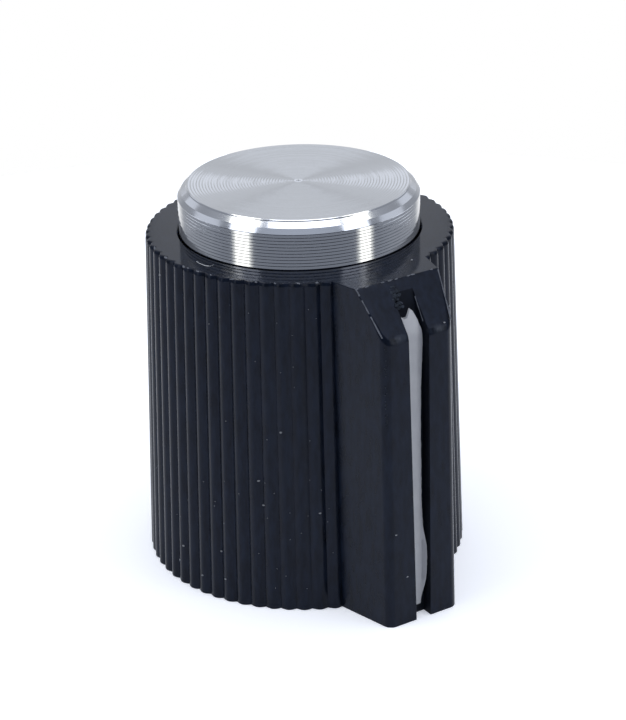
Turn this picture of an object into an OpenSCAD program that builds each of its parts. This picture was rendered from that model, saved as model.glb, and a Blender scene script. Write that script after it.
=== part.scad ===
// Ribbed control knob with a pointer fin, a turned metal cap and a quarter-inch shaft fixing.
// The knob stands on its base: +Z is up, the shaft's axis is Z, the base lies in z = 0,
// and the pointer looks along -Y. All sizes are in millimetres.

/* [Body] */
// Diameter over the rib crests at the base
base_d = 16; // [15:0.1:20]
// Diameter over the rib crests at the top, smaller than the base so that the moulding draws
top_d = 14.9; // [14:0.1:15.8]
// Height of the moulded body
body_h = 16.8; // [15:0.1:24]

/* [Ribs] */
// Number of ribs round the full circle, counted as if the pointer left them all in place
rib_count = 65; // [41:2:91]
// Depth of the valleys between the rounded ribs
rib_depth = 0.15; // [0.06:0.01:0.3]

/* [Pointer] */
// How far the pointer's front face stands out from the rib crests at the base
pointer_proud = 2.45; // [1.8:0.05:4]
// How far the front face leans back over the height of the body
pointer_lean = 0.45; // [0.1:0.05:0.7]
// Width of the pointer's front face at the base, before its edges are rounded
pointer_face_w = 3.9; // [2.6:0.1:5]
// Angle of each flank to the pointer's centre line
flank_angle = 13.5; // [5:0.5:28]
// Rounding of the two upright front edges
pointer_edge_r = 0.45; // [0.1:0.05:0.7]
// How far the flat top runs out past the rib crests before it slopes down
ledge_proud = 0.88; // [0.3:0.02:1.1]
// Height that the slope takes off the pointer's front
slope_drop = 2.15; // [1.2:0.05:3.5]
// Rounding where the slope meets the front face
slope_edge_r = 0.6; // [0.1:0.05:0.9]

/* [Pointer groove] */
// Width of the painted groove at the base
groove_w = 0.8; // [0.5:0.05:1.4]
// How much wider the groove is at the top of the body
groove_flare = 0.35; // [0.1:0.05:0.5]
// Depth of the groove behind the front face
groove_depth = 0.58; // [0.2:0.02:0.9]
// How far below the slope's top edge the groove runs out, measured down the slope
groove_runout = 0.6; // [0.3:0.05:0.8]
// How far below the slope's lower edge the groove's floor bends
groove_bend_drop = 0.1; // [0:0.05:0.6]
// Thickness of the paint on the groove's floor
paint_t = 0.12; // [0.05:0.01:0.2]
// Height of the paint's lower end above the base
paint_start = 0.5; // [0:0.1:2]
// Bare length of floor between the groove's upper end and the paint
paint_stop = 0.8; // [0.6:0.1:1.2]

/* [Metal cap] */
// Diameter of the turned cap
cap_d = 11.65; // [9:0.05:12.4]
// How far the cap stands out of the body
cap_proud = 2.3; // [1.4:0.1:4]
// Depth of the seat that the cap sits in
cap_seat = 1.5; // [0.8:0.1:2.5]
// Bevel round the cap's top edge
cap_chamfer = 0.55; // [0.2:0.05:0.8]
// Bevel round the cap's hidden lower edge
cap_lead = 0.2; // [0.05:0.05:0.4]
// Gap all round between the cap and its seat
cap_clearance = 0.1; // [0.05:0.01:0.2]
// Spacing of the turning grooves on the cap's side
turn_pitch = 0.155; // [0.1:0.005:0.3]
// Depth of the turning grooves
turn_depth = 0.03; // [0.01:0.005:0.05]
// Radius of the centre mark that the lathe leaves on the face
centre_r = 0.22; // [0.1:0.02:0.4]
// Depth of the centre mark
centre_depth = 0.06; // [0.02:0.01:0.1]

/* [Shaft fixing] */
// Bore for a quarter-inch shaft
bore_d = 6.4; // [5.9:0.05:6.5]
// Depth of the bore from the base
bore_depth = 12; // [9:0.5:12.5]
// Outside diameter of the moulded-in bush
bush_d = 9.4; // [9:0.1:10.4]
// Depth of the ring groove that keeps the bush from pulling out
bush_undercut = 0.4; // [0.2:0.05:0.6]
// Width of that ring groove
bush_undercut_w = 1.6; // [0.8:0.1:2]
// Thread diameter of the grub screw
screw_d = 3; // [2:0.5:4]
// Length of the grub screw
screw_l = 3; // [2.5:0.5:4]
// Height of the grub screw's axis above the base
screw_z = 4.5; // [3:0.5:6]
// Distance between the grub screw's tip and the bore, with the screw backed off
screw_backoff = 0.2; // [0.1:0.05:0.5]
// Gap round the grub screw in its thread
thread_clearance = 0.03; // [0.01:0.01:0.06]
// Extra radius of the access hole through the body
access_clearance = 0.2; // [0.1:0.05:0.4]
// Hexagon socket's width across flats
key_af = 1.5; // [0.9:0.1:1.6]
// Depth of the hexagon socket
key_depth = 1.4; // [0.8:0.1:1.6]

/* [Hidden] */

$fn = 96;
// Segments in each rounded rib, and in each small rounding
rib_steps = 6;
round_steps = 6;
// Overlap that lets a cut leave the solid cleanly
past = 1;

base_r = base_d / 2;
top_r = top_d / 2;
reach = base_r + pointer_proud;
ledge = top_r + ledge_proud;
cap_r = cap_d / 2;
bush_r = bush_d / 2;
seat_z = body_h - cap_seat;
cap_top = body_h + cap_proud;
rib_angle = 360 / rib_count;

// The pointer's front face leans back: its distance from the axis at height z
function front_at(z) = reach - pointer_lean * z / body_h;

function unit(v) = v / norm(v);

// Points are [distance in front of the axis, height], as seen from the side
slope_top = [ledge, body_h];
slope_foot = [front_at(body_h - slope_drop), body_h - slope_drop];
groove_end = slope_top + groove_runout * unit(slope_foot - slope_top);
groove_bend_z = slope_foot[1] - groove_bend_drop;
groove_bend = [front_at(groove_bend_z) - groove_depth, groove_bend_z];
// Past the front face and past the widest ribs, where the cuts in the pointer end
clear_of_front = max(reach, ledge) + past;

// Points of the arc of radius r that rounds corner b between the points a and c
function rounded(a, b, c, r) =
    let (to_a = unit(a - b))
    let (to_c = unit(c - b))
    let (half = acos(to_a * to_c) / 2)
    let (centre = b + unit(to_a + to_c) * r / sin(half))
    let (from = b + to_a * r / tan(half) - centre)
    let (to = b + to_c * r / tan(half) - centre)
    let (start = atan2(from[1], from[0]))
    let (turn = atan2(from[0] * to[1] - from[1] * to[0], from * to))
    [
        for (i = [0 : round_steps])
            let (angle = start + turn * i / round_steps)
            centre + r * [cos(angle), sin(angle)]
    ];

// A side view in the plane of the pointer, given a width across it
module across(width) {
    rotate([90, 0, -90]) linear_extrude(width, center = true) children();
}

// Plan of the ribs at the base: each rib is a parabola whose crest lies on the full diameter
module rib_plan() {
    polygon([
        for (rib = [0 : rib_count - 1], i = [0 : rib_steps - 1])
            let (t = i / rib_steps - 0.5)
            let (r = base_r - rib_depth * pow(2 * t, 2))
            let (a = (rib + t) * rib_angle - 90)
            r * [cos(a), sin(a)]
    ]);
}

// Plan of the pointer at the base: a wedge with rounded front edges, rooted well inside the ribs
module pointer_plan() {
    root = base_r / 2;
    half_w = pointer_face_w / 2;
    root_w = half_w + (reach - root) * tan(flank_angle);
    left = [-half_w, -reach];
    right = [half_w, -reach];
    root_left = [-root_w, -root];
    root_right = [root_w, -root];
    polygon(concat(
        [root_right, root_left],
        rounded(root_left, left, right, pointer_edge_r),
        rounded(left, right, root_right, pointer_edge_r)
    ));
}

// Ribs and pointer, each drawn up from its plan with the draft that the moulding needs
module drafted_blank() {
    linear_extrude(body_h, scale = top_r / base_r) rib_plan();
    linear_extrude(body_h, scale = front_at(body_h) / reach) pointer_plan();
}

// What the slope takes off the pointer, with its lower edge rounded into the front
module slope_cut() {
    above = slope_top - past * unit(slope_foot - slope_top);
    below = [front_at(0), 0];
    edge = rounded(slope_top, slope_foot, below, slope_edge_r);
    across(2 * base_d) polygon(concat(
        [above],
        edge,
        [[clear_of_front, edge[round_steps][1]], [clear_of_front, above[1]]]
    ));
}

// The groove's width as seen from the front: it flares from the base to the top of the body
module groove_sides() {
    half = groove_w / 2;
    flare = groove_flare / 2 / body_h;
    low = -past;
    high = body_h + past;
    rotate([90, 0, 0]) linear_extrude(clear_of_front) polygon([
        [-half - flare * low, low],
        [half + flare * low, low],
        [half + flare * high, high],
        [-half - flare * high, high]
    ]);
}

// The groove: upright behind the front face, then leaning back to run out on the slope
module groove_cut() {
    out = groove_end + past * unit(groove_end - groove_bend);
    intersection() {
        groove_sides();
        across(base_d) polygon([
            [front_at(-past) - groove_depth, -past],
            groove_bend,
            out,
            [clear_of_front, out[1]],
            [clear_of_front, -past]
        ]);
    }
}

// Outside of the bush, with the ring groove that the moulding grips
module bush_solid() {
    ring_z = (screw_z + screw_d / 2 + bore_depth) / 2;
    ring_low = ring_z - bush_undercut_w / 2;
    ring_high = ring_z + bush_undercut_w / 2;
    neck = bush_r - bush_undercut;
    rotate_extrude() polygon([
        [0, 0],
        [bush_r, 0],
        [bush_r, ring_low],
        [neck, ring_low],
        [neck, ring_high],
        [bush_r, ring_high],
        [bush_r, bore_depth],
        [0, bore_depth]
    ]);
}

// A round bar along +Y at the grub screw's height, from one distance to another
module radial_bar(r, from, to) {
    translate([0, from, screw_z]) rotate([-90, 0, 0]) cylinder(r = r, h = to - from);
}

// Moulded body: ribbed skirt and pointer in one piece
module knob_body() {
    color("#23262d") difference() {
        drafted_blank();
        slope_cut();
        groove_cut();
        translate([0, 0, seat_z]) cylinder(r = cap_r + cap_clearance, h = cap_seat + past);
        bush_solid();
        radial_bar(screw_d / 2 + access_clearance, bore_d / 2, base_r + past);
    }
}

// Turned cap: bevelled, with turning grooves round its side and a centre mark on its face
module cap_insert() {
    side_top = cap_top - cap_chamfer;
    turns = floor((side_top - body_h) / turn_pitch);
    color("#c8cacc") rotate_extrude() polygon(concat(
        [[0, seat_z], [cap_r - cap_lead, seat_z], [cap_r, seat_z + cap_lead]],
        [
            for (i = [0 : turns - 1], deep = [0, 1])
                [cap_r - deep * turn_depth, side_top - (turns - i - deep / 2) * turn_pitch]
        ],
        [[cap_r, side_top], [cap_r - cap_chamfer, cap_top], [centre_r, cap_top], [0, cap_top - centre_depth]]
    ));
}

// Paint laid on the groove's floor
module pointer_line() {
    low = [front_at(paint_start) - groove_depth, paint_start];
    high = groove_end + paint_stop * unit(groove_bend - groove_end);
    floor_line = [low, groove_bend, high];
    color("#e8e8e4") intersection() {
        groove_sides();
        across(base_d) polygon(concat(
            floor_line,
            [for (i = [2 : -1 : 0]) floor_line[i] + [paint_t, 0]]
        ));
    }
}

// Brass bush with the shaft bore and the grub screw's thread
module shaft_bush() {
    color("#b9974f") difference() {
        bush_solid();
        translate([0, 0, -past]) cylinder(d = bore_d, h = bore_depth + 2 * past);
        radial_bar(screw_d / 2, 0, bush_r + past);
    }
}

// Grub screw with a hexagon socket, backed off from the bore
module grub_screw() {
    r = screw_d / 2 - thread_clearance;
    tip = bore_d / 2 + screw_backoff;
    head = tip + screw_l;
    key_sides = 6;
    key_r = key_af / 2 / cos(180 / key_sides);
    color("#3b3c40") difference() {
        radial_bar(r, tip, head);
        radial_bar(key_r, head - key_depth, head + past, $fn = key_sides);
    }
}

knob_body();
cap_insert();
pointer_line();
shaft_bush();
grub_screw();
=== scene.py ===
# %% [markdown]
# # A ribbed control knob with a painted pointer and a turned metal cap
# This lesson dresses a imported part: its solids come in as a fixed frame, and every piece made here
# sits in that same frame, in metres. The knob is a black moulding with 65 ribs and a pointer fin,
# a bright turned cap pressed into its top, pale paint in the pointer's groove, and a brass bush with
# a grub screw underneath. We load the frame first, because every size below leans on it.

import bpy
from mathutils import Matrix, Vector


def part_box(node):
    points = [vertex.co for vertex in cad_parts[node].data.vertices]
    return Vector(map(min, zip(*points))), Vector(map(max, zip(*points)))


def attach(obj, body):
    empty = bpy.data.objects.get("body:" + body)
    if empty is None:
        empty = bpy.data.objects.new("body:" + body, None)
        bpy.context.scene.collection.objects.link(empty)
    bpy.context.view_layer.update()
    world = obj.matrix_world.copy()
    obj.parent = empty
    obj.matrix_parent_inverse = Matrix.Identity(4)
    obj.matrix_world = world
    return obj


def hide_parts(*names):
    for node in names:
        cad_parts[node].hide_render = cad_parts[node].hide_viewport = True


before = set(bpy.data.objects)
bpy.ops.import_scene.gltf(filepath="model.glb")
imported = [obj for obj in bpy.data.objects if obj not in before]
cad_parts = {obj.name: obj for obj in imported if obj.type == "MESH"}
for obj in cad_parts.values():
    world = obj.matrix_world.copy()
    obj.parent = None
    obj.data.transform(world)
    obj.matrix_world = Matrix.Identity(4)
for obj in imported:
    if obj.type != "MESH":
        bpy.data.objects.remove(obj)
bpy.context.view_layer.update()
print("nodes:", sorted(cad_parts))

# %% [markdown]
# ## Sizes
# The part is small, and many of Blender's tools merge or clamp at a tenth of a millimetre. So each
# piece is modelled with one unit to the millimetre and brought down to metres when it is finished.
# What the frame can tell is measured from it. The rest are the moulding's own sizes, in millimetres.

# %% Sizes in millimetres
import math
import random
from itertools import pairwise

import bmesh
import bpy
from mathutils import Matrix, Vector

MM = 0.001
body_low, body_high = (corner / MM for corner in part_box("knob_body"))
cap_low, cap_high = (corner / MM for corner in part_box("cap_insert"))
bush_low, bush_high = (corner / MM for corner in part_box("shaft_bush"))
screw_low, screw_high = (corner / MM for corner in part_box("grub_screw"))

BODY_H = body_high.z
REACH = -body_low.y
CAP_R = cap_high.x
CAP_TOP = cap_high.z
SEAT_Z = cap_low.z
BUSH_R = bush_high.x
BORE_DEPTH = bush_high.z
SCREW_Z = (screw_low.z + screw_high.z) / 2
SCREW_R = (screw_high.z - screw_low.z) / 2

BASE_R = 8.0
TOP_R = 7.45
RIBS = 65
RIB_DEPTH = 0.15
print(f"body {BODY_H:.2f} mm high, pointer reaches {REACH:.2f} mm, cap {2 * CAP_R:.2f} mm across")

# %% [markdown]
# ## The camera
# The photograph looks down on the knob from about 25 degrees, with the pointer 31.7 degrees to the
# right of the lens. A lens of about 109 mm on a 36 mm high frame gives the same gentle perspective.
# The camera is built from the direction it looks in and a small roll, and the frame is shifted by
# the few pixels that the knob stands off the middle of the picture.

# %% Camera
PHOTO_W, PHOTO_H = 626, 720
SENSOR_H = 36.0
FOCAL_PX = 2185.3
AIM_PX = (303.2, 375.5)
AIM_Z = 8.8
CAMERA_DISTANCE = 109.0
POINTER_TURN = math.radians(31.7)
CAMERA_RISE = math.radians(24.8)
CAMERA_ROLL = math.radians(-1.42)

aim = Vector((0, 0, AIM_Z))
toward_camera = Vector((-math.sin(POINTER_TURN), -math.cos(POINTER_TURN), 0))
camera_place = aim + CAMERA_DISTANCE * (
    math.cos(CAMERA_RISE) * toward_camera + math.sin(CAMERA_RISE) * Vector((0, 0, 1))
)
looking = (aim - camera_place).normalized()
level_right = looking.cross(Vector((0, 0, 1))).normalized()
level_up = level_right.cross(looking)
right = math.cos(CAMERA_ROLL) * level_right + math.sin(CAMERA_ROLL) * level_up
up = right.cross(looking)
turn = Matrix((right, up, -looking)).transposed().to_euler()

bpy.ops.object.camera_add(location=camera_place * MM, rotation=turn)
camera = bpy.context.object
camera.data.sensor_fit = "VERTICAL"
camera.data.sensor_height = SENSOR_H
camera.data.lens = FOCAL_PX * SENSOR_H / PHOTO_H
camera.data.shift_x = (PHOTO_W / 2 - AIM_PX[0]) / PHOTO_H
camera.data.shift_y = (AIM_PX[1] - PHOTO_H / 2) / PHOTO_H
camera.data.clip_start = 10 * MM
bpy.context.scene.camera = camera
print(f"lens {camera.data.lens:.1f} mm, shift {camera.data.shift_x:.4f}, {camera.data.shift_y:.4f}")

# %% [markdown]
# ## Helpers for materials
# A colour is written as the hex value that a paint program shows, and Cycles works in linear light,
# so one function turns the one into the other. Another adds a node, sets its inputs and links them,
# which keeps each finish short enough to read at a glance. A third opens an empty material.

# %% Material helpers
def linear(hex_colour):
    """The linear colour of an sRGB hex value, with full alpha."""
    parts = [int(hex_colour[i : i + 2], 16) / 255 for i in (1, 3, 5)]
    return [c / 12.92 if c <= 0.04045 else ((c + 0.055) / 1.055) ** 2.4 for c in parts] + [1]


def add_node(tree, kind, settings=None, **inputs):
    """Adds a shader node with its options. Inputs are values, or the node or socket to link."""
    node = tree.nodes.new("ShaderNode" + kind)
    for name, value in (settings or {}).items():
        setattr(node, name, value)
    for name, value in inputs.items():
        socket = node.inputs[int(name[1:]) if name[1:].isdigit() else name.replace("_", " ")]
        if isinstance(value, bpy.types.Node):
            value = value.outputs[0]
        if isinstance(value, bpy.types.NodeSocket):
            tree.links.new(value, socket)
        else:
            socket.default_value = value
    return node


def new_finish(name):
    """An empty material, with its node tree."""
    finish = bpy.data.materials.new(name)
    finish.use_nodes = True
    finish.node_tree.nodes.clear()
    return finish, finish.node_tree


print("material helpers ready")

# %% [markdown]
# ## Painted highlights at the slope's foot
# A painted highlight turns the black plastic grey where the slope of the pointer ends, on both sides
# of the groove. One could paint a mask by hand. Here it is worked out: the distance from a point at
# the slope's foot, stretched along it, with the sign of X left out so that it serves both sides.
# The streaks of the plastic break the spot up.

# %% Painted highlights
PAINTED_HIGHLIGHT_AT = (1.05, 10.0, 14.65)
PAINTED_HIGHLIGHT_R = 0.42
PAINTED_HIGHLIGHT_STRETCH = (0.7, 1, 1.9)
PAINTED_HIGHLIGHT_COLOUR = "#4b505a"


def painted_highlight_share(tree, place, streak_share):
    """How strong the painted highlight is, from 0 to 1."""
    spot = add_node(tree, "VectorMath", {"operation": "ABSOLUTE"}, _0=place)
    spot = add_node(
        tree, "VectorMath", {"operation": "SUBTRACT"}, _0=spot,
        _1=[part * MM for part in PAINTED_HIGHLIGHT_AT],
    )
    spot = add_node(
        tree, "VectorMath", {"operation": "MULTIPLY"}, _0=spot,
        _1=PAINTED_HIGHLIGHT_STRETCH,
    )
    spot = add_node(tree, "VectorMath", {"operation": "LENGTH"}, _0=spot)
    spot = add_node(
        tree, "MapRange", Value=spot.outputs["Value"], From_Max=PAINTED_HIGHLIGHT_R * MM,
        To_Min=1.0, To_Max=0.0,
    )
    return add_node(tree, "Math", {"operation": "MULTIPLY"}, _0=spot, _1=streak_share)


print("painted highlights at", PAINTED_HIGHLIGHT_AT, "mm, on both sides")

# %% [markdown]
# ## Moulded black plastic
# The body is a black thermoset or ABS, moulded against a polished tool. It is nearly black, so what
# the eye sees is its gloss: a dim, slightly soft and bluish reflection of the room, broken by the
# faint orange peel of the moulding and by streaks along the draw of the tool. The rim faced the best
# polished part of the tool, so it is glossier. The grain of the tool is finer than a pixel, so it is
# drawn at 0.12 mm, as coarse as it needs to be to show. The same recipe, darker as painted shade and
# matt, goes in the groove, and paler and matt, on the edges where the plastic has torn.

# %% Moulded black plastic
GRAIN_MM = 0.12
CLOUD_MM = 1.8
STREAK_MM = 0.3
DRAW_STRETCH = 0.3
RIM_FROM, RIM_TO = 0.12, 0.01
RIM_ROUGHNESS = 0.45


def moulded_plastic(name, dark, light, smooth, rough):
    """Black plastic between two colours, with a roughness between two values."""
    finish, tree = new_finish(name)
    place = add_node(tree, "TexCoord").outputs["Object"]
    height = add_node(tree, "SeparateXYZ", Vector=place).outputs["Z"]
    grain = add_node(tree, "TexNoise", Vector=place, Scale=1 / (GRAIN_MM * MM), Detail=2.0)
    cloud = add_node(tree, "TexNoise", Vector=place, Scale=1 / (CLOUD_MM * MM), Detail=3.0)
    gloss = add_node(
        tree, "MapRange", Value=cloud, From_Min=0.3, From_Max=0.7, To_Min=smooth, To_Max=rough,
    )
    rim_share = add_node(
        tree, "MapRange", Value=height, From_Min=(BODY_H - RIM_FROM) * MM,
        From_Max=(BODY_H - RIM_TO) * MM, To_Min=1.0, To_Max=RIM_ROUGHNESS,
    )
    gloss = add_node(tree, "Math", {"operation": "MULTIPLY"}, _0=gloss, _1=rim_share)
    drawn = add_node(
        tree, "VectorMath", {"operation": "MULTIPLY"}, _0=place, _1=(1, 1, DRAW_STRETCH),
    )
    streaks = add_node(tree, "TexNoise", Vector=drawn, Scale=1 / (STREAK_MM * MM), Detail=3.0)
    streak_share = add_node(tree, "MapRange", Value=streaks, From_Min=0.32, From_Max=0.68)
    tint = add_node(
        tree, "Mix", {"data_type": "RGBA"}, _0=streak_share,
        _6=linear(dark), _7=linear(light),
    )
    # The painted highlight at the slope's foot is mixed into the plastic's colour.
    tint = add_node(
        tree, "Mix", {"data_type": "RGBA"}, _0=painted_highlight_share(tree, place, streak_share),
        _6=tint.outputs[2], _7=linear(PAINTED_HIGHLIGHT_COLOUR),
    )
    bump = add_node(tree, "Bump", Height=grain, Strength=0.12, Distance=0.02 * MM)
    shader = add_node(
        tree, "BsdfPrincipled", Base_Color=tint.outputs[2], Roughness=gloss,
        Normal=bump, Specular_IOR_Level=0.155, Specular_Tint=linear("#e6ecff"),
    )
    add_node(tree, "OutputMaterial", Surface=shader)
    return finish


plastic = moulded_plastic("moulded_black_plastic", "#080d17", "#121927", 0.17, 0.23)
# Painted shade: this darker plastic stands for the shade inside the groove.
groove_shade_plastic = moulded_plastic("groove_painted_shade_plastic", "#02050c", "#060b16", 0.55, 0.7)
torn_plastic = moulded_plastic("torn_black_plastic", "#191e25", "#323842", 0.5, 0.7)
print("finishes:", plastic.name, groove_shade_plastic.name, torn_plastic.name)

# %% [markdown]
# ## Turned aluminium and brass
# The cap is bar aluminium, faced and turned on a lathe and left bare. The tool leaves rings that are
# modelled as real grooves further on, so the finish itself only needs the metal's pale colour, a
# middling gloss, and very fine scratches that run round the axis. Distance from the axis, stretched
# into a noise, gives rings of uneven strength. The bush is turned brass, so it takes the same recipe
# in its own yellow.

# %% Turned metal
def turned_metal(name, colour, roughness, ring_mm):
    """Bare metal with fine rings round the Z axis."""
    finish, tree = new_finish(name)
    place = add_node(tree, "TexCoord").outputs["Object"]
    flat = add_node(
        tree, "VectorMath", {"operation": "MULTIPLY"}, _0=place, _1=(1, 1, 0),
    )
    radius = add_node(tree, "VectorMath", {"operation": "LENGTH"}, _0=flat)
    height = add_node(tree, "SeparateXYZ", Vector=place).outputs["Z"]
    along = add_node(
        tree, "Math", {"operation": "ADD"}, _0=radius.outputs["Value"], _1=height,
    )
    rings = add_node(
        tree, "TexNoise", {"noise_dimensions": "1D"}, W=along,
        Scale=1 / (ring_mm * MM), Detail=2.0,
    )
    rough = add_node(
        tree, "MapRange", Value=rings,
        From_Min=0.3, From_Max=0.7, To_Min=roughness - 0.03, To_Max=roughness + 0.03,
    )
    bump = add_node(tree, "Bump", Height=rings, Strength=0.1, Distance=0.01 * MM)
    around = add_node(tree, "Tangent", {"direction_type": "RADIAL", "axis": "Z"})
    shader = add_node(
        tree, "BsdfPrincipled", Base_Color=linear(colour), Metallic=1.0,
        Roughness=rough, Normal=bump, Tangent=around,
        Anisotropic=0.4, Anisotropic_Rotation=0.25,
    )
    add_node(tree, "OutputMaterial", Surface=shader)
    return finish


aluminium = turned_metal("turned_aluminium", "#e2e4e8", 0.12, 0.05)
brass = turned_metal("turned_brass", "#c9a256", 0.25, 0.08)
print("finishes:", aluminium.name, brass.name)

# %% [markdown]
# ## Enamel, black steel, flash, lint and dust
# The small finishes differ in colour and gloss, so one recipe serves them all: two close tones in a
# cloud, and the same cloud as a slight unevenness. The line is a pale grey enamel that was wiped in,
# so it is half matt. The screw is black oxide steel, dark with a dull gloss. Torn flash is the
# body's own plastic, roughened to a paler grey; on the slivers along the slope's edges and the
# groove's wall that pale grey is also a painted highlight. Lint and settled dust are pale and matt.

# %% Small finishes
def plain_finish(name, dark, light, roughness, metallic, cloud_mm):
    """A cloud of two close tones, slightly uneven."""
    finish, tree = new_finish(name)
    place = add_node(tree, "TexCoord").outputs["Object"]
    cloud = add_node(tree, "TexNoise", Vector=place, Scale=1 / (cloud_mm * MM), Detail=3.0)
    tint = add_node(
        tree, "Mix", {"data_type": "RGBA"}, _0=cloud,
        _6=linear(dark), _7=linear(light),
    )
    bump = add_node(tree, "Bump", Height=cloud, Strength=0.2, Distance=0.03 * MM)
    shader = add_node(
        tree, "BsdfPrincipled", Base_Color=tint.outputs[2], Roughness=roughness,
        Metallic=metallic, Normal=bump,
    )
    add_node(tree, "OutputMaterial", Surface=shader)
    return finish


enamel = plain_finish("line_enamel", "#acaeb5", "#bdbfc4", 0.45, 0.0, 0.5)
black_steel = plain_finish("black_oxide_steel", "#2a2b2e", "#3b3c40", 0.4, 1.0, 0.3)
# Flash colour; on the slivers it is also a painted highlight.
flash_and_highlight_plastic = plain_finish("flash_and_painted_highlight_plastic", "#3a3e48", "#6c717c", 0.5, 0.0, 0.1)
lint = plain_finish("pale_lint", "#8e9299", "#c9cbd0", 0.6, 0.0, 0.1)
grey_dust = plain_finish("settled_dust", "#5a5e65", "#9a9da3", 0.6, 0.0, 0.1)
print("finishes:", enamel.name, black_steel.name, flash_and_highlight_plastic.name, lint.name, grey_dust.name)

# %% [markdown]
# ## Helpers for modelling
# Every piece is shaped by Blender's own tools, as by hand. What a hand does with the mouse is
# picking, so one helper selects the points, edges or faces that pass a test. Others apply a
# modifier, join or cut one solid by another, draw a solid up from a disc, ring by ring, as a lathe
# would turn it, and bring a finished piece down to metres and set it on the frame.

# %% Modelling helpers
def pick(piece, kind, test):
    """In edit mode, selects the points, edges or faces of a piece that pass a test."""
    bpy.ops.mesh.select_mode(type=kind)
    bpy.ops.mesh.select_all(action="DESELECT")
    shape = bmesh.from_edit_mesh(piece.data)
    parts = {"VERT": shape.verts, "EDGE": shape.edges, "FACE": shape.faces}[kind]
    chosen = [part for part in parts if test(part)]
    for part in chosen:
        part.select_set(True)
    shape.select_flush_mode()
    bmesh.update_edit_mesh(piece.data)
    return len(chosen)


def fix(piece):
    """Puts a piece's place, turn and scale into its mesh."""
    bpy.ops.object.select_all(action="DESELECT")
    piece.select_set(True)
    bpy.context.view_layer.objects.active = piece
    bpy.ops.object.transform_apply(location=True, rotation=True, scale=True)


def modify(piece, name, kind, **settings):
    """Adds a modifier with its settings and applies it."""
    bpy.context.view_layer.objects.active = piece
    modifier = piece.modifiers.new(name, kind)
    for setting, value in settings.items():
        setattr(modifier, setting, value)
    bpy.ops.object.modifier_apply(modifier=modifier.name)


def begin(name):
    """Names the primitive just added, puts its place in its mesh and opens it for editing."""
    piece = bpy.context.object
    piece.name = name
    piece.data.name = name
    fix(piece)
    bpy.ops.object.mode_set(mode="EDIT")
    bpy.ops.mesh.select_all(action="SELECT")
    return piece


def close(piece):
    """Turns all faces outwards and leaves edit mode."""
    bpy.ops.mesh.select_all(action="SELECT")
    bpy.ops.mesh.normals_make_consistent(inside=False)
    bpy.ops.object.mode_set(mode="OBJECT")
    return piece


def combine(piece, tool, operation):
    """Joins a solid to a piece, or cuts the piece with it, and uses the solid up."""
    modify(
        piece, operation.lower(), "BOOLEAN", operation=operation, solver="EXACT",
        material_mode="TRANSFER", object=tool,
    )
    bpy.data.objects.remove(tool)


def draw_up(rings):
    """In edit mode, extrudes what is picked through rings of (radius, height)."""
    for (r0, z0), (r1, z1) in pairwise(rings):
        bpy.ops.mesh.extrude_region_move(TRANSFORM_OT_translate={"value": (0, 0, z1 - z0)})
        bpy.ops.transform.resize(value=(r1 / r0, r1 / r0, 1), center_override=(0, 0, z1))


def turned(name, rings, steps):
    """A solid of revolution: a disc is drawn up through rings of (radius, height)."""
    radius, height = rings[0]
    bpy.ops.mesh.primitive_circle_add(
        vertices=steps, radius=radius, fill_type="NGON", location=(0, 0, height)
    )
    piece = begin(name)
    draw_up(rings)
    return close(piece)


def settle(piece, finish, smooth_angle=30):
    """Brings a piece down to metres, shades it, gives it a finish if it has none, and mounts it."""
    piece.scale = (MM, MM, MM)
    fix(piece)
    bpy.ops.object.shade_smooth_by_angle(angle=math.radians(smooth_angle))
    modify(piece, "even_shading", "WEIGHTED_NORMAL", keep_sharp=True)
    if not any(piece.data.materials):
        piece.data.materials.clear()
        piece.data.materials.append(finish)
    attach(piece, "root")
    print(f"{piece.name}: {len(piece.data.vertices)} points, {len(piece.data.polygons)} faces")
    return piece


print("modelling helpers ready")

# %% [markdown]
# ## The ribbed blank
# The ribs are 65 rounded ridges that run the whole height, each with a narrow valley on either side,
# and the whole body draws in towards the top so that it leaves its mould. One could cut 65 grooves
# into a cylinder. It is neater to start from a flat disc whose rim has 12 points to each rib, pull
# each set of like points in by its depth, and draw that outline up, scaled to the smaller top. The
# last fifth of a millimetre draws in faster, because the tops of real ribs are worn.

# %% Ribbed blank
RIB_STEPS = 12
RIB_FADE_H = 0.18
RIB_FADE = 0.04
RIM_EDGE = 0.1
BASE_EDGE = 0.05


def rib_drop(phase):
    """Depth below the crest, at -0.5 to 0.5 across a rib: a parabola with a soft valley."""
    parabola = (2 * phase) ** 2
    wave = (1 - math.cos(2 * math.pi * phase)) / 2
    return RIB_DEPTH * (0.75 * parabola + 0.25 * wave)


bpy.ops.mesh.primitive_circle_add(vertices=RIBS * RIB_STEPS, radius=BASE_R, fill_type="NGON")
body = begin("knob_moulding")
body.data.materials.append(plastic)
for step in range(RIB_STEPS):
    shrink = 1 - rib_drop(step / RIB_STEPS - 0.5) / BASE_R
    pick(body, "VERT", lambda point: point.index % RIB_STEPS == step)
    bpy.ops.transform.resize(value=(shrink, shrink, 1), center_override=(0, 0, 0))
bpy.ops.mesh.select_mode(type="FACE")
bpy.ops.mesh.select_all(action="SELECT")
fade_z = BODY_H - RIB_FADE_H
fade_r = BASE_R + (TOP_R - BASE_R) * fade_z / BODY_H
draw_up(((BASE_R, 0), (fade_r, fade_z), (TOP_R - RIB_FADE, BODY_H)))
for level, width in ((BODY_H, RIM_EDGE), (0, BASE_EDGE)):
    pick(body, "EDGE", lambda edge: all(abs(point.co.z - level) < 1e-4 for point in edge.verts))
    bpy.ops.mesh.bevel(offset=width, segments=2, affect="EDGES")
close(body)
print("blank:", len(body.data.polygons), "faces")

# %% [markdown]
# ## The pointer
# The pointer is a wedge that stands out from the ribs, and its front face leans back a little. It
# starts as a cube: the root is spread to make the flanks, the top is drawn in for the lean, and the
# two upright edges at the front are rounded.

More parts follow.
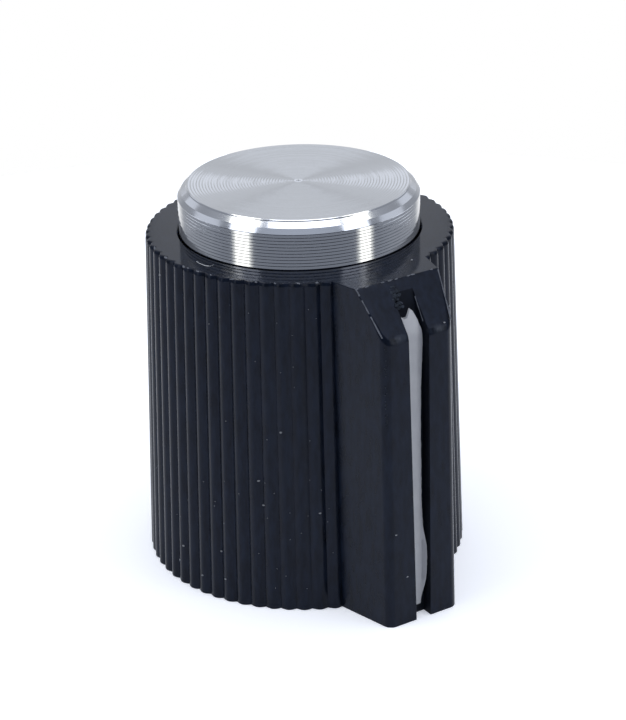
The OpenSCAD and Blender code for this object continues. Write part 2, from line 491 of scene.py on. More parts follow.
# %% Pointer
POINTER_ROOT = 4.0
FACE_W = 3.9
FLANK = math.radians(13.5)
LEAN = 0.45
EDGE_R = 0.45


def front_at(height):
    """How far the pointer's front face stands from the axis at a height."""
    return REACH - LEAN * height / BODY_H


half_face = FACE_W / 2
half_root = half_face + (REACH - POINTER_ROOT) * math.tan(FLANK)
mid_y = -(REACH + POINTER_ROOT) / 2

bpy.ops.mesh.primitive_cube_add(
    size=1,
    location=(0, mid_y, BODY_H / 2),
    scale=(FACE_W, REACH - POINTER_ROOT, BODY_H),
)
pointer = begin("pointer")
pointer.data.materials.append(plastic)
pick(pointer, "VERT", lambda point: point.co.y > mid_y)
bpy.ops.transform.resize(value=(half_root / half_face, 1, 1), center_override=(0, 0, 0))
lean_scale = front_at(BODY_H) / REACH
pick(pointer, "VERT", lambda point: point.co.z > BODY_H / 2)
bpy.ops.transform.resize(value=(lean_scale, lean_scale, 1), center_override=(0, 0, BODY_H))
pick(
    pointer, "EDGE",
    lambda edge: abs(edge.verts[0].co.z - edge.verts[1].co.z) > 1 and edge.verts[0].co.y < mid_y,
)
bpy.ops.mesh.bevel(
    offset=EDGE_R * math.tan((math.pi / 2 - FLANK) / 2), segments=6, affect="EDGES",
)
print("wedge:", len(bmesh.from_edit_mesh(pointer.data).faces), "faces")

# %% [markdown]
# ## The slope of the pointer
# The top of the pointer runs out level with the rim and then slopes down to the front, so that the
# line can be read from above. The slope is sliced off with a bisect, which also closes the cut, and
# then the edge at its foot is rounded, as in the mould.

# %% Slope
LEDGE = TOP_R + 0.88
SLOPE_DROP = 2.15
FOOT_R = 0.6
FOOT_REACH = EDGE_R + 0.05

slope_foot_z = BODY_H - SLOPE_DROP
slope_top = Vector((0, -LEDGE, BODY_H))
slope_foot = Vector((0, -front_at(slope_foot_z), slope_foot_z))
slope_normal = (slope_foot - slope_top).cross(Vector((1, 0, 0))).normalized()
if slope_normal.z < 0:
    slope_normal = -slope_normal


def at_slope_foot(edge):
    """An edge round the lower end of the slope."""
    flat = all(abs((point.co - slope_top).dot(slope_normal)) < 1e-4 for point in edge.verts)
    return flat and all(point.co.z < slope_foot_z + FOOT_REACH for point in edge.verts)


bpy.ops.mesh.select_all(action="SELECT")
bpy.ops.mesh.bisect(plane_co=slope_top, plane_no=slope_normal, use_fill=True, clear_outer=True)
steepness = math.atan2(SLOPE_DROP, -slope_foot.y - LEDGE)
foot_turn = math.pi / 2 - steepness - math.atan2(LEAN, BODY_H)
found = pick(pointer, "EDGE", at_slope_foot)
bpy.ops.mesh.bevel(offset=FOOT_R * math.tan(foot_turn / 2), segments=5, affect="EDGES")
close(pointer)
print("pointer:", len(pointer.data.polygons), "faces,", found, "edges at the foot of the slope")

# %% [markdown]
# ## The groove in the pointer
# The groove runs up the front face, flares a little on the way, bends back at the foot of the slope
# and runs out on it. A cutter with that very shape is made from a cube: its floor is set to the
# lean, the upper end is extruded along the bend, and each level is spread to its width. The cutter
# wears the matt plastic darkened with painted shade, and the cut hands that finish on to the
# groove's walls. After the cut, one bevel breaks every sharp edge of the pointer by a twentieth of a
# millimetre, as moulded edges are.

# %% Groove
GROOVE_W = 0.8
GROOVE_FLARE = 0.35
GROOVE_DEPTH = 0.58
GROOVE_RUNOUT = 0.6
GROOVE_BEND_DROP = 0.1
SOFT_EDGE = 0.05
SOFT_EDGE_ANGLE = math.radians(32)
PAST = 1.0


def groove_half(height):
    """Half the groove's width at a height."""
    return (GROOVE_W + GROOVE_FLARE * height / BODY_H) / 2


down_slope = (slope_foot - slope_top).normalized()
groove_end = slope_top + GROOVE_RUNOUT * down_slope
bend_z = slope_foot_z - GROOVE_BEND_DROP
groove_bend = Vector((0, -(front_at(bend_z) - GROOVE_DEPTH), bend_z))
groove_out = groove_end + PAST * (groove_end - groove_bend).normalized()
groove_low = Vector((0, -(front_at(-PAST) - GROOVE_DEPTH), -PAST))
far_front = -(REACH + 3 * PAST)

bpy.ops.mesh.primitive_cube_add(
    size=1,
    location=(0, (far_front + groove_bend.y) / 2, (bend_z - PAST) / 2),
    scale=(1, groove_bend.y - far_front, bend_z + PAST),
)
cutter = begin("groove_cutter")
# The cutter's plastic carries the groove's painted shade.
cutter.data.materials.append(groove_shade_plastic)
pick(cutter, "VERT", lambda point: point.co.z < 0 and point.co.y > far_front + PAST)
bpy.ops.transform.translate(value=(0, groove_low.y - groove_bend.y, 0))
pick(cutter, "FACE", lambda face: face.normal.z > 0.9)
bpy.ops.mesh.extrude_region_move(TRANSFORM_OT_translate={"value": groove_out - groove_bend})
for level in (-PAST, bend_z, groove_out.z):
    pick(cutter, "VERT", lambda point: abs(point.co.z - level) < 1e-3)
    bpy.ops.transform.resize(value=(2 * groove_half(level), 1, 1), center_override=(0, 0, 0))
close(cutter)
combine(pointer, cutter, "DIFFERENCE")

modify(
    pointer, "soft_edges", "BEVEL", limit_method="ANGLE", angle_limit=SOFT_EDGE_ANGLE,
    width=SOFT_EDGE, segments=2,
)
print("pointer with groove:", len(pointer.data.polygons), "faces")

# %% [markdown]
# ## One moulding
# Ribs and pointer are one piece on the real knob, so the two solids are joined. Then the moulding
# gets what its core pins leave: the seat for the cap, the pocket that grips the brass bush, and the
# hole for the grub screw on the side away from the pointer. The seat's cutter flares at its mouth,
# which breaks the rim's inner edge.

# %% Join and cut the moulding
CAP_CLEARANCE = 0.07
ROUND_STEPS = 128
HOLE_STEPS = 48
RING_W = 1.6
RING_DEPTH = 0.4
RING_ABOVE_SCREW = 1.5
ACCESS_R = 1.7
ACCESS_FROM = 3.2


def radial(piece):
    """Lays a piece that was turned about Z along +Y, at the grub screw's height."""
    piece.rotation_euler = (-math.pi / 2, 0, 0)
    piece.location = (0, 0, SCREW_Z)
    fix(piece)
    return piece


combine(body, pointer, "UNION")
seat_r = CAP_R + CAP_CLEARANCE
seat = turned(
    "seat_cutter",
    [
        (seat_r, SEAT_Z),
        (seat_r, BODY_H - SOFT_EDGE),
        (seat_r + SOFT_EDGE, BODY_H),
        (seat_r + SOFT_EDGE, BODY_H + PAST),
    ],
    ROUND_STEPS,
)
combine(body, seat, "DIFFERENCE")
ring_z = (SCREW_Z + RING_ABOVE_SCREW + BORE_DEPTH) / 2
bush_rings = [
    (BUSH_R, ring_z - RING_W / 2),
    (BUSH_R - RING_DEPTH, ring_z - RING_W / 2),
    (BUSH_R - RING_DEPTH, ring_z + RING_W / 2),
    (BUSH_R, ring_z + RING_W / 2),
    (BUSH_R, BORE_DEPTH),
]
pocket = turned("pocket_cutter", [(BUSH_R, -PAST)] + bush_rings, ROUND_STEPS)
combine(body, pocket, "DIFFERENCE")
access_rings = [(ACCESS_R, ACCESS_FROM), (ACCESS_R, BASE_R + PAST)]
access = radial(turned("access_cutter", access_rings, HOLE_STEPS))
combine(body, access, "DIFFERENCE")
settle(body, plastic)
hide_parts("knob_body")

# %% [markdown]
# ## The turned cap
# The cap is turned from bar: its side carries the even spiral of the tool, its top edge has a bevel
# of four narrow bands, from steep to shallow, that catch the panels in steps, and its face shows the
# rings of facing, down to the small pip where the tool ran out. All of these are real cuts of a few
# hundredths of a millimetre, so they are modelled as rings and not painted on. Each ring wanders a
# little in depth, because no lathe is perfect.

# %% Cap
CAP_STEPS = 256
CAP_CHAMFER = 0.55
CAP_LEAD = 0.2
TURN_PITCH = 0.155
TURN_DEPTH = 0.03
TURN_PROFILE = ((0.0, 0.0), (0.38, 0.5), (0.75, 1.0))
BEVEL_BANDS = ((0.165, 0.245), (0.255, 0.225), (0.022, 0.055), (0.028, 0.025))
FACE_PITCH = 0.143
FACE_DEPTH = 0.015
FACE_VALLEY = 0.6
CENTRE_R = 0.11
CENTRE_DEPTH = 0.09
PIP_R = 0.08

chance = random.Random(7)
side_top = CAP_TOP - CAP_CHAMFER
turns = math.floor((side_top - BODY_H) / TURN_PITCH)
cap_rings = [(CAP_R - CAP_LEAD, SEAT_Z), (CAP_R, SEAT_Z + CAP_LEAD)]
for turn_count in range(turns, 0, -1):
    crest_z = side_top - turn_count * TURN_PITCH
    depth = TURN_DEPTH * chance.uniform(0.9, 1.0)
    for share, deep in TURN_PROFILE:
        cap_rings.append((CAP_R - depth * deep, crest_z + share * TURN_PITCH))
cap_rings.append((CAP_R, side_top))
for step_in, step_up in BEVEL_BANDS:
    radius, height = cap_rings[-1]
    cap_rings.append((radius - step_in, height + step_up))
flat_r = cap_rings[-1][0]
face_turns = math.floor((flat_r - CENTRE_R) / FACE_PITCH)
for ring in range(1, face_turns + 1):
    radius = flat_r - ring * FACE_PITCH
    depth = FACE_DEPTH * chance.uniform(0.85, 1.0)
    cap_rings.append((radius + FACE_VALLEY * FACE_PITCH, CAP_TOP - depth))
    cap_rings.append((radius, CAP_TOP))
cap_rings.append((CENTRE_R, CAP_TOP))
cap_rings.append((PIP_R, CAP_TOP - CENTRE_DEPTH))
cap_rings.append((PIP_R / 4, CAP_TOP - CENTRE_DEPTH - PIP_R / 4))
cap = turned("turned_cap", cap_rings, CAP_STEPS)
settle(cap, aluminium, smooth_angle=6)
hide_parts("cap_insert")

# %% [markdown]
# ## How the paint lies
# The paint was wiped into the groove and lies on its floor as a thin skin. It does not quite reach
# the right wall, creeps up it in one place, thins out to a tongue at the bottom and ends in two
# ragged points at the top. Such a hand-made edge follows no rule, so it is given as a few places up
# the groove, in millimetres, with straight runs between them.

# %% How the paint lies
SHORT_OF_WALL = (
    (0.0, 0.34), (0.7, 0.24), (1.2, 0.12), (1.9, 0.04), (3.0, 0.0), (4.3, 0.06), (5.8, 0.14),
    (9.0, 0.16), (12.0, 0.13), (13.2, 0.04), (14.2, 0.0), (14.7, 0.05), (15.1, 0.16), (15.6, 0.36),
)
UP_THE_WALL = ((0.0, 0.0), (1.0, 0.0), (1.9, 0.2), (3.6, 0.24), (4.6, 0.0), (13.0, 0.0))
RAGGED_TOP = (0.0, -0.12, -0.2, -0.2, -0.02, 0.16, 0.04)
lean_back = (groove_end.y - groove_bend.y) / (groove_end.z - bend_z)


def groove_floor(height):
    """The Y of the groove's floor at a height."""
    if height < bend_z:
        return -(front_at(height) - GROOVE_DEPTH)
    return groove_bend.y + (height - bend_z) * lean_back


def between(table, at):
    """The value of a table of (place, value) at a place between two rows."""
    for (a, low), (b, high) in pairwise(table):
        if a <= at <= b:
            return low + (high - low) * (at - a) / (b - a)
    return table[-1][1]


print(f"groove floor at {-groove_floor(0):.2f} mm below, {-groove_floor(BODY_H):.2f} mm at the top")

# %% [markdown]
# ## The painted line
# A grid is the handiest start: each of its rows is spread to the paint's width at that height and
# set on the groove's floor, then the sheet is extruded to its thickness and its front is drawn in at
# the edges, as a drying skin does.

# %% Painted line
PAINT_T = 0.12
PAINT_ROWS = 90
PAINT_COLUMNS = 6
PAINT_LOW = 0.5
PAINT_STOP = 1.0
PAINT_WANDER = 0.012
PAINT_FRONT = (0.94, 1, 0.998)
paint_high = (groove_end + PAINT_STOP * (groove_bend - groove_end).normalized()).z

bpy.ops.mesh.primitive_grid_add(
    x_subdivisions=PAINT_COLUMNS, y_subdivisions=PAINT_ROWS, size=1, rotation=(math.pi / 2, 0, 0)
)
paint = begin("line_paint")
columns = pick(paint, "VERT", lambda point: point.co.z < -0.4999)
rows = len(paint.data.vertices) // columns
for row in range(rows):
    share = row / (rows - 1)
    height = PAINT_LOW + share * (paint_high - PAINT_LOW)
    left_edge = -groove_half(height)
    right_edge = groove_half(height) - between(SHORT_OF_WALL, height)
    right_edge += chance.uniform(-PAINT_WANDER, PAINT_WANDER)
    pick(paint, "VERT", lambda point: point.index // columns == row)
    bpy.ops.transform.resize(value=(right_edge - left_edge, 1, 1), center_override=(0, 0, 0))
    bpy.ops.transform.translate(
        value=((left_edge + right_edge) / 2, groove_floor(height), height - (share - 0.5))
    )
    pick(paint, "VERT", lambda point: point.index == (row + 1) * columns - 1)
    bpy.ops.transform.translate(value=(0, -between(UP_THE_WALL, height), 0))
for column in range(columns):
    pick(paint, "VERT", lambda point: point.index == (rows - 1) * columns + column)
    lift = RAGGED_TOP[column % len(RAGGED_TOP)]
    bpy.ops.transform.translate(value=(0, lift * lean_back, lift))
bpy.ops.mesh.select_mode(type="FACE")
bpy.ops.mesh.select_all(action="SELECT")
bpy.ops.mesh.extrude_region_move(TRANSFORM_OT_translate={"value": (0, -PAINT_T, 0)})
bpy.ops.transform.resize(value=PAINT_FRONT, center_override=(0, 0, BODY_H / 2))
close(paint)
settle(paint, enamel, smooth_angle=50)
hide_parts("pointer_line")

# %% [markdown]
# ## The brass bush
# A brass bush is moulded into the knob to carry the shaft. It is turned from bar: a ring groove
# round its waist keys it into the plastic, the bore has a lead-in for the shaft, and one side is
# drilled and tapped for the grub screw. Only its end face and bore can be seen, from below.

# %% Bush
BORE_R = 3.2
MOUTH = 0.3
TAP_R = SCREW_R + 0.03
TAP_FROM = 0.1

bush = turned("brass_bush", [(BUSH_R, 0)] + bush_rings, ROUND_STEPS)
bore = turned(
    "bore_cutter",
    [
        (BORE_R + MOUTH, -PAST),
        (BORE_R + MOUTH, 0),
        (BORE_R, MOUTH),
        (BORE_R, BORE_DEPTH + PAST),
    ],
    ROUND_STEPS,
)
combine(bush, bore, "DIFFERENCE")
tapped = radial(turned("tap_cutter", [(TAP_R, TAP_FROM), (TAP_R, BUSH_R + PAST)], HOLE_STEPS))
combine(bush, tapped, "DIFFERENCE")
settle(bush, brass)
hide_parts("shaft_bush")

# %% [markdown]
# ## The grub screw
# The screw that grips the shaft sits in the tapped hole: a cup point, a few turns of thread, a
# bevelled head and a hexagon socket. The thread is drawn as rings, because its slope is too slight
# to show.

# %% Grub screw
CUP_R, POINT_R, POINT_H = 0.45, 0.95, 0.3
THREAD_PITCH = 0.5
THREAD_DEPTH = 0.22
THREAD_CREST = 0.12
THREAD_FROM, THREAD_SHORT = 0.45, 0.1
HEAD_BEVEL = 0.2
KEY_ACROSS = 1.5
KEY_DEPTH = 1.4
KEY_TIP_R, KEY_TIP_H = 0.2, 0.2
key_r = KEY_ACROSS / 2 / math.cos(math.pi / 6)
tip, head = screw_low.y, screw_high.y

screw_rings = [(CUP_R, tip + POINT_H), (POINT_R, tip), (SCREW_R - THREAD_DEPTH, tip + POINT_H)]
thread_z = tip + THREAD_FROM
while thread_z + THREAD_PITCH < head - THREAD_SHORT:
    screw_rings.append((SCREW_R, thread_z))
    screw_rings.append((SCREW_R, thread_z + THREAD_CREST * THREAD_PITCH))
    screw_rings.append((SCREW_R - THREAD_DEPTH, thread_z + THREAD_PITCH / 2))
    thread_z += THREAD_PITCH
screw_rings += [(SCREW_R, head - HEAD_BEVEL), (SCREW_R - HEAD_BEVEL, head)]
screw = turned("set_screw", screw_rings, 64)
key_floor = head - KEY_DEPTH
key_rings = [(KEY_TIP_R, key_floor - KEY_TIP_H), (key_r, key_floor), (key_r, head + PAST)]
key = turned("key_cutter", key_rings, 6)
combine(screw, key, "DIFFERENCE")
radial(screw)
settle(screw, black_steel)
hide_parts("grub_screw")

# %% [markdown]
# ## Places on the knob
# The knob in the photograph is a used one, and a little rough: flash, torn edges, dust and a hair
# cling to it. Each bit has to sit on the surface that carries it, from whatever side one looks. So
# these functions give points on the surfaces themselves.

# %% Places on the knob
EDGE_SIDE = Vector((1, 1.2, 0)).normalized()


def polar(bearing, radius, height):
    """A point at a bearing in degrees from the pointer, to the right, as seen from the front."""
    angle = math.radians(bearing)
    return Vector((radius * math.sin(angle), -radius * math.cos(angle), height))


def rib_surface(bearing, height):
    """The point on the ribs at a bearing and a height."""
    phase = bearing * RIBS / 360
    crest = BASE_R + (TOP_R - BASE_R) * height / BODY_H
    return polar(bearing, crest - rib_drop(phase - round(phase)), height)


def on_slope(across, share):
    """A point on the slope: across it in millimetres, and from its top (0) to its foot (1)."""
    point = slope_top.lerp(slope_foot, share)
    return Vector((across, point.y, point.z))


def slope_edge(side, share):
    """A point on the slope's left (-1) or right (1) edge, from its top (0) to its foot (1)."""
    point = on_slope(0, share)
    front = front_at(point.z)
    half = half_face * front / REACH + (front + point.y) * math.tan(FLANK)
    return Vector((side * (half - SOFT_EDGE / 2), point.y, point.z))


def upright_edge(height):
    """A point on the pointer's rounded left edge."""
    front = front_at(height)
    inward = EDGE_R * (1 / math.cos((math.pi / 2 - FLANK) / 2) - 1)
    return Vector((-half_face * front / REACH, -front, height)) + inward * EDGE_SIDE


print(f"slope from {slope_top.z:.2f} down to {slope_foot.z:.2f} mm")

# %% [markdown]
# ## Crumbs and rods
# Two simple shapes make all the bits. A crumb is a small ball, drawn out, turned and roughened at
# random. A sliver or a hair is a thin rod, extruded from point to point and swelling as it goes. The
# finest specks are smaller than a pixel, so a coarser ball does for them.

# %% Crumbs and rods
CRUMB_W = 0.1
CRUMB_FLAT = 0.8
CRUMB_ROUGH = 0.2
FINE_W = 0.05
ROD_SWELL = (0.5, 1.1)


def begin_bits(name):
    """Opens a new, empty piece for editing."""
    bpy.ops.mesh.primitive_ico_sphere_add(subdivisions=1, radius=CRUMB_W)
    piece = begin(name)
    bpy.ops.mesh.delete(type="VERT")
    return piece


def crumb(place, length, width, turn):
    """In edit mode, adds a ball that is drawn out, turned by degrees about Z and roughened."""
    bpy.ops.mesh.select_all(action="DESELECT")
    detail = 1 if width < FINE_W else 2
    bpy.ops.mesh.primitive_ico_sphere_add(subdivisions=detail, radius=width / 2, location=place)
    bpy.ops.transform.resize(value=(length / width, 1, CRUMB_FLAT), center_override=place)
    bpy.ops.transform.rotate(value=-math.radians(turn), orient_axis="Z", center_override=place)
    bpy.ops.transform.vertex_random(offset=CRUMB_ROUGH * width, seed=chance.randrange(1000))


def rod(points, width):
    """In edit mode, adds a thin rod of uneven width through a row of points."""
    bpy.ops.mesh.select_all(action="DESELECT")
    facing = (points[1] - points[0]).to_track_quat("Z", "Y").to_euler()
    bpy.ops.mesh.primitive_circle_add(
        vertices=6, radius=width / 2, fill_type="NGON", location=points[0], rotation=facing
    )
    swell = 1.0
    for start, end in pairwise(points):
        next_swell = chance.uniform(*ROD_SWELL)
        change = next_swell / swell
        swell = next_swell
        bpy.ops.mesh.extrude_region_move(TRANSFORM_OT_translate={"value": end - start})
        bpy.ops.transform.resize(value=(change, change, change), center_override=end)


print("crumbs", CRUMB_W, "mm wide")

# %% [markdown]
# ## Moulding flash and painted highlights
# Where the halves of a mould meet, a thin skin of plastic squeezes out and later breaks off in
# crumbs. They cling to the rim and to the top of the slope. Thin pale slivers run down the slope's
# edges and along one wall of the groove; they are partly flash and partly a painted highlight, their
# pale colour standing for the light those edges catch. Each is set by a bearing or a place across,
# with a length.

# %% Moulding flash and painted highlights
RIM_R = TOP_R - RIB_FADE - RIM_EDGE
FLASH_SINK = 0.03
RIM_FLASH = (
    (-102, 0.4), (-91, 0.3), (-79.5, 0.3), (-77, 0.15), (-72, 0.25), (-66, 0.15), (-57, 0.3),
    (-48, 0.15), (-41, 0.12), (-33, 0.3), (-26, 0.15),
)
LEDGE_FLASH = (
    (-2.2, 0.15), (-1.65, 0.3), (-0.8, 0.2), (-0.4, 0.3), (-0.05, 0.2), (0.6, 0.2), (0.85, 0.25),
    (1.9, 0.15),
)
LEDGE_CRUMB_W = 0.7 * CRUMB_W
HIGHLIGHT_SLIVERS = ((-1, 0.0, 0.12), (-1, 0.2, 0.45), (-1, 0.5, 0.9), (1, 0.02, 0.9))
SLIVER_STEPS = 5
SLIVER_W = 0.07
WALL_HIGHLIGHT_TOP = 16.0
WALL_HIGHLIGHT_STEP = 0.2
WALL_HIGHLIGHT_DEPTH = 0.4

flash_bits_and_highlights = begin_bits("moulding_flash_and_highlights")
for bearing, length in RIM_FLASH:
    place = polar(bearing, RIM_R, BODY_H - FLASH_SINK)
    crumb(place, length, CRUMB_W, bearing + chance.uniform(-30, 30))
for across, length in LEDGE_FLASH:
    crumb(on_slope(across, 0), length, LEDGE_CRUMB_W, chance.uniform(-15, 15))
# Slivers down the slope's edges: flash, and a painted highlight along each edge.
for side, top, foot in HIGHLIGHT_SLIVERS:
    shares = [top + (foot - top) * step / SLIVER_STEPS for step in range(SLIVER_STEPS + 1)]
    rod([slope_edge(side, share) for share in shares], SLIVER_W)
# A sliver along the groove's right wall: a painted highlight line on the wall.
wall_highlight_points = []
for step in range(SLIVER_STEPS + 1):
    height = WALL_HIGHLIGHT_TOP - WALL_HIGHLIGHT_STEP * step
    surface_y = on_slope(0, (BODY_H - height) / SLOPE_DROP).y
    depth = WALL_HIGHLIGHT_DEPTH * (surface_y - groove_floor(height))
    wall_highlight_points.append(Vector((groove_half(height), surface_y - depth, height)))
rod(wall_highlight_points, SLIVER_W)
close(flash_bits_and_highlights)
settle(flash_bits_and_highlights, flash_and_highlight_plastic)

# %% [markdown]
# ## Torn edges
# Left of the groove's upper end the plastic is torn, and the pointer's left edge is nibbled. Many
# small crumbs, sunk half into the surface, heap up to a rough patch. Their places are drawn at
# random within the patch, from the same seed each time.

# %% Torn edges
TORN_BITS = 26
TORN_ACROSS, TORN_DOWN = (-0.6, -0.2), (0.12, 0.5)
TORN_SINK = Vector((0, 0.1, 0))
TORN_LENGTH, TORN_WIDTH = (0.2, 0.4), (0.16, 0.28)
EDGE_BITS = 40
EDGE_HEIGHTS = (10.5, 14.5)
EDGE_WANDER = 0.05
EDGE_LENGTH, EDGE_WIDTH = (0.04, 0.09), 0.06

torn = begin_bits("torn_edges")
for bit in range(TORN_BITS):
    place = on_slope(chance.uniform(*TORN_ACROSS), chance.uniform(*TORN_DOWN)) + TORN_SINK
    length, width = chance.uniform(*TORN_LENGTH), chance.uniform(*TORN_WIDTH)
    crumb(place, length, width, chance.uniform(0, 180))
for bit in range(EDGE_BITS):
    place = upright_edge(chance.uniform(*EDGE_HEIGHTS))
    place.x += chance.uniform(-EDGE_WANDER, EDGE_WANDER)
    crumb(place, chance.uniform(*EDGE_LENGTH), EDGE_WIDTH, chance.uniform(0, 180))
close(torn)
settle(torn, torn_plastic)

# %% [markdown]
# ## Dust
# A few larger specks sit as in the photograph: on ribs, given by bearing and
# height, and on the pointer's front, given by a place across and a height. The fine dust between
# them has no places worth noting, so it is scattered over the ribs at random.

# %% Dust
RIB_DUST = (
    (38, 13.5), (-40, 9.4), (-48.5, 6.8), (-47, 5.5), (-27, 5.2), (-82, 2.1), (-84, 1.2), (-62, 1.2),
    (-72, 1.0), (-64, 2.6), (-94, 15.8),
)
FACE_DUST = ((-1.5, 4.9), (-0.9, 2.5))
SPECK_LENGTH = (0.1, 0.16)
FINE_DUST = 90
FINE_BEARINGS, FINE_HEIGHTS = (-105, 45), (0.3, 16)
FINE_LENGTH, FINE_WIDTH = (0.03, 0.06), 0.035
POINTER_SPAN = 16

dust = begin_bits("dust_specks")
for bearing, height in RIB_DUST:
    crumb(rib_surface(bearing, height), chance.uniform(*SPECK_LENGTH), CRUMB_W, bearing)
for speck in range(FINE_DUST):
    bearing = chance.uniform(*FINE_BEARINGS)
    length = chance.uniform(*FINE_LENGTH)
    if abs(bearing) > POINTER_SPAN:
        crumb(rib_surface(bearing, chance.uniform(*FINE_HEIGHTS)), length, FINE_WIDTH, bearing)
for across, height in FACE_DUST:
    crumb(Vector((across, -front_at(height), height)), 0.12, 0.08, 0)
crumb(on_slope(1.5, 0.92), 0.12, CRUMB_W, 20)
crumb(polar(15, 7.1, BODY_H), 0.14, CRUMB_W, 40)
close(dust)
settle(dust, grey_dust)

# %% [markdown]
# ## A hair
# A pale hair lies curled on the rim. It is one thin rod through a few points, given by bearing and
# radius, half its own width above the rim so that it rests there.

# %% Hair
HAIR = (
    (-79, 6.55), (-77, 6.62), (-75, 6.64), (-73, 6.66), (-71.5, 6.6), (-70.8, 6.45), (-71.3, 6.32),
)
HAIR_W = 0.045

hair = begin_bits("lint_hair")
rod([polar(bearing, radius, BODY_H + HAIR_W / 2) for bearing, radius in HAIR], HAIR_W)
close(hair)
settle(hair, lint)

# %% [markdown]
# ## The floor
# The knob stands on a sheet of white paper that keeps its shadow. Lit at a plain level, the paper
# alone would come out pale grey, so it glows a little, but only for rays that come from the lens or
# by way of a reflection. So it shows as white and still throws no more light on the knob.

# %% Floor
FLOOR_R = 60.0
FLOOR_GLOW = 0.39


def ground_finish():
    """White paper that shows as white where it is seen."""
    finish, tree = new_finish("white_paper")
    path = add_node(tree, "LightPath").outputs
    seen = path["Is Camera Ray"]
    for kind in ("Is Glossy Ray", "Is Transmission Ray"):
        seen = add_node(tree, "Math", {"operation": "MAXIMUM"}, _0=seen, _1=path[kind])
    share = add_node(tree, "Math", {"operation": "MULTIPLY"}, _0=seen, _1=FLOOR_GLOW)
    sheet = add_node(tree, "BsdfDiffuse", Color=linear("#f2f3f5"))
    glow = add_node(
        tree, "Emission", Color=linear("#eef2fd"), Strength=share,
    )
    both = add_node(tree, "AddShader", _0=sheet, _1=glow)
    add_node(tree, "OutputMaterial", Surface=both)
    return finish


bpy.ops.mesh.primitive_circle_add(vertices=64, radius=FLOOR_R * MM, fill_type="NGON")
floor = bpy.context.object
floor.name = "white_ground"
floor.data.materials.append(ground_finish())
print("floor:", 2 * FLOOR_R, "mm across")

# %% [markdown]
# ## The tent
# Bright metal and black gloss have little colour of their own: they show the room. The room here is
# a photographer's tent, and it is drawn in the world by direction alone. What counts is how high a
# ray looks, how far it looks towards the lens or away from it, and how far to the side.

# %% Directions in the tent
world = bpy.data.worlds.new("light_tent")
bpy.context.scene.world = world
world.use_nodes = True
tent = world.node_tree
tent.nodes.clear()
direction = add_node(tent, "TexCoord").outputs["Generated"]
rise = add_node(tent, "SeparateXYZ", Vector=direction).outputs["Z"]
level = add_node(
    tent, "VectorMath", {"operation": "MULTIPLY"}, _0=direction, _1=(1, 1, 0),
)
heading = add_node(tent, "VectorMath", {"operation": "NORMALIZE"}, _0=level)
facing_lens = add_node(
    tent, "VectorMath", {"operation": "DOT_PRODUCT"},
    _0=heading, _1=toward_camera,
).outputs["Value"]
sideways = add_node(
    tent, "VectorMath", {"operation": "DOT_PRODUCT"}, _0=direction, _1=level_right,
).outputs["Value"]
print("world:", world.name)

# %% [markdown]
# ## The walls of the tent
# The cloth is palest behind the knob, where the cap's face mirrors it, and darkest round the lens,
# which gives the cap's side its grey and the plastic its black. Towards the top the cloth is
# brighter, most of all in front. Behind the knob its lower part is a touch darker.

# %% Walls
WALL_STOPS = (
    (0.0, "#cbced3"), (0.04, "#c6c9cf"), (0.12, "#9a9ea5"), (0.25, "#969aa2"), (0.5, "#8d929b"),
    (0.65, "#7c818b"), (1.0, "#787d87"),
)
UPPER_FROM, UPPER_TO = 0.58, 0.72
GAIN_BEHIND, GAIN_IN_FRONT = 0.2, 1.25
SKIRTING_FROM, SKIRTING_TO = 0.42, 0.64
SKIRTING_LOSS = -0.12

share = add_node(tent, "MapRange", Value=facing_lens, From_Min=-1.0, From_Max=1.0)
walls = add_node(tent, "ValToRGB", Fac=share)
for stop, shade in WALL_STOPS[1:-1]:
    walls.color_ramp.elements.new(stop)
for element, (stop, shade) in zip(walls.color_ramp.elements, WALL_STOPS):
    element.position = stop
    element.color = linear(shade)
upper = add_node(
    tent, "MapRange", Value=rise, From_Min=UPPER_FROM, From_Max=UPPER_TO,
)
gain = add_node(
    tent, "MapRange", Value=facing_lens, From_Min=-0.3, From_Max=0.3,
    To_Min=GAIN_BEHIND, To_Max=GAIN_IN_FRONT,
)
skirting = add_node(
    tent, "MapRange", Value=rise, From_Min=SKIRTING_FROM, From_Max=SKIRTING_TO,
    To_Min=SKIRTING_LOSS, To_Max=0.0,
)
behind = add_node(
    tent, "MapRange", Value=facing_lens, From_Min=-0.75, From_Max=-0.95,
)
wall_light = add_node(
    tent, "Math", {"operation": "MULTIPLY_ADD"},
    _0=skirting, _1=behind, _2=1.0,
)
wall_light = add_node(
    tent, "Math", {"operation": "MULTIPLY_ADD"},
    _0=upper, _1=gain, _2=wall_light,
)
sides = add_node(
    tent, "Background", Color=walls, Strength=wall_light,
)
print("walls:", len(walls.color_ramp.elements), "tones")

# %% [markdown]
# ## The ceiling and the ground of the tent
# The top of the tent is a lit panel, crossed by two dark bars of its frame, which cut the bright
# edge of the cap's bevel into three. Below, the white ground runs on past the edge of the paper, so
# that the picture stays white up to its top edge.

# %% Ceiling and ground
CEILING_FROM, CEILING_TO = 0.906, 0.918
CEILING_LIGHT = 2.6
FRAME_BARS = ((-0.345, 0.04), (0.405, 0.012))
GROUND_FROM, GROUND_TO = -0.19, -0.25

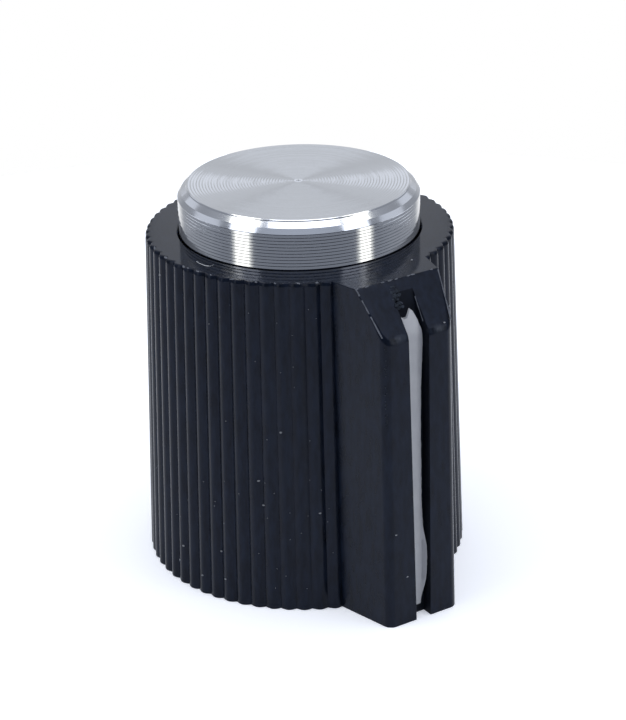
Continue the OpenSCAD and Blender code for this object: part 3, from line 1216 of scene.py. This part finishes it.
ceiling = add_node(tent, "MapRange", Value=rise, From_Min=CEILING_FROM, From_Max=CEILING_TO)
for bar, half_width in FRAME_BARS:
    frame_bar = add_node(
        tent, "Math", {"operation": "COMPARE"}, _0=sideways, _1=bar, _2=half_width,
    )
    gap = add_node(tent, "Math", {"operation": "SUBTRACT"}, _0=1.0, _1=frame_bar)
    ceiling = add_node(tent, "Math", {"operation": "MULTIPLY"}, _0=ceiling, _1=gap)
above = add_node(tent, "Background", Color=linear("#f4f7ff"), Strength=CEILING_LIGHT)
upper_half = add_node(tent, "MixShader", _0=ceiling, _1=sides, _2=above)
ground = add_node(tent, "Background", Color=linear("#ffffff"), Strength=1.0)
low = add_node(tent, "MapRange", Value=rise, From_Min=GROUND_FROM, From_Max=GROUND_TO)
room = add_node(tent, "MixShader", _0=low, _1=upper_half, _2=ground)
add_node(tent, "OutputWorld", Surface=room)
print("tent:", len(tent.nodes), "nodes")

# %% [markdown]
# ## The lamps
# A tall soft panel on each side gives the two bright bands on the cap. A real soft box fades towards
# its edges, so each is three panels of rising width, one inside the other. Wings and glows light the
# ribs and the rim, two upper panels the bevel, and cards behind the knob bring out the rings on the
# cap's face. All of them stand a metre away, and each is given by the angles it is seen at.

# %% Lamps
PANEL_DISTANCE = 1000.0
WARM_WHITE = "#fffdf2"
COOL_WHITE = "#eef3ff"
SIDE_RINGS = ((-3, 1.6), (0.5, 0.6), (4, 0.3))
CARD_RINGS = ((16, 0.34), (23, 0.12), (30, 0.08))


def span(degrees):
    """The width in metres that a panel needs to span an angle."""
    return 2 * PANEL_DISTANCE * MM * math.tan(math.radians(degrees / 2))


def panel(name, azimuth, rise, width, height, radiance, shade=COOL_WHITE):
    """A soft panel that looks at the knob: angles in degrees, azimuth to the right of the lens."""
    away = Matrix.Rotation(math.radians(azimuth), 3, "Z") @ toward_camera
    away = math.cos(math.radians(rise)) * away + math.sin(math.radians(rise)) * Vector((0, 0, 1))
    place = aim + PANEL_DISTANCE * away
    facing = (-away).to_track_quat("-Z", "Y").to_euler()
    bpy.ops.object.light_add(type="AREA", location=place * MM, rotation=facing)
    lamp = bpy.context.object
    lamp.name = name
    lamp.data.shape = "RECTANGLE"
    lamp.data.size = span(width)
    lamp.data.size_y = span(height)
    lamp.data.energy = radiance * math.pi * lamp.data.size * lamp.data.size_y
    lamp.data.color = linear(shade)[:3]


for ring, (wider, light) in enumerate(SIDE_RINGS):
    panel(f"left_panel_{ring}", -54, 11, 17 + wider, 34, light, WARM_WHITE)
    panel(f"right_panel_{ring}", 62, 10, 14 + wider, 38, light, WARM_WHITE)
panel("left_wing", -62, 40, 21, 24, 1.6)
panel("right_wing", 62, 40, 21, 24, 1.6)
panel("foot_card", 71, 22, 6, 14, 2.5)
panel("left_glow", -101, 25, 80, 14, 0.4)
panel("right_glow", 107, 25, 66, 14, 0.4)
panel("upper_left", -82, 55, 20, 22, 3.2, WARM_WHITE)
panel("upper_right", 84, 54, 20, 20.4, 1.9, WARM_WHITE)
for ring, (tall, light) in enumerate(CARD_RINGS):
    panel(f"card_behind_left_{ring}", -161, 17, 22, tall, light)
    panel(f"card_behind_right_{ring}", 161, 17, 22, tall, light)
panel("card_behind", 180, 21, 9, 8, 0.45)
bpy.context.scene.view_settings.view_transform = "Standard"
